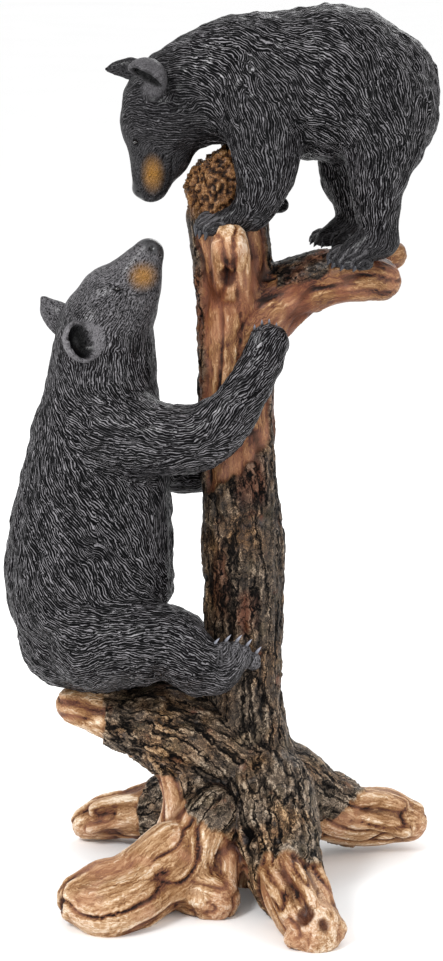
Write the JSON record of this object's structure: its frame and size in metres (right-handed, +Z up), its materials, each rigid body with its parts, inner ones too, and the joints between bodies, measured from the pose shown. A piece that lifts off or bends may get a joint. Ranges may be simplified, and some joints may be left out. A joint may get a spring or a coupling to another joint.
{
  "type": "bear statue",
  "caption": "Cast and painted garden statue of black bears on a tree stump: one stands on the branch, the other sits on the side limb and hugs the trunk.",
  "frame": {"origin": "on the floor, under the middle of the statue's outline", "axes": "+Z up; the side shown in the picture faces -Y; +X towards the branch"},
  "size_m": [0.3676, 0.343, 0.7402],
  "materials": {
    "wood_and_bark": "cast resin painted as bare wood and bark, dark wash in the recesses",
    "upper_fur": "cast resin painted near-black, dry-brushed grey on the fur",
    "lower_fur": "cast resin painted near-black, dry-brushed grey on the fur"
  },
  "bodies": {
    "root": {"tree_stump": "wood_and_bark", "upper_bear": "upper_fur", "lower_bear": "lower_fur"}
  },
  "joints": []
}
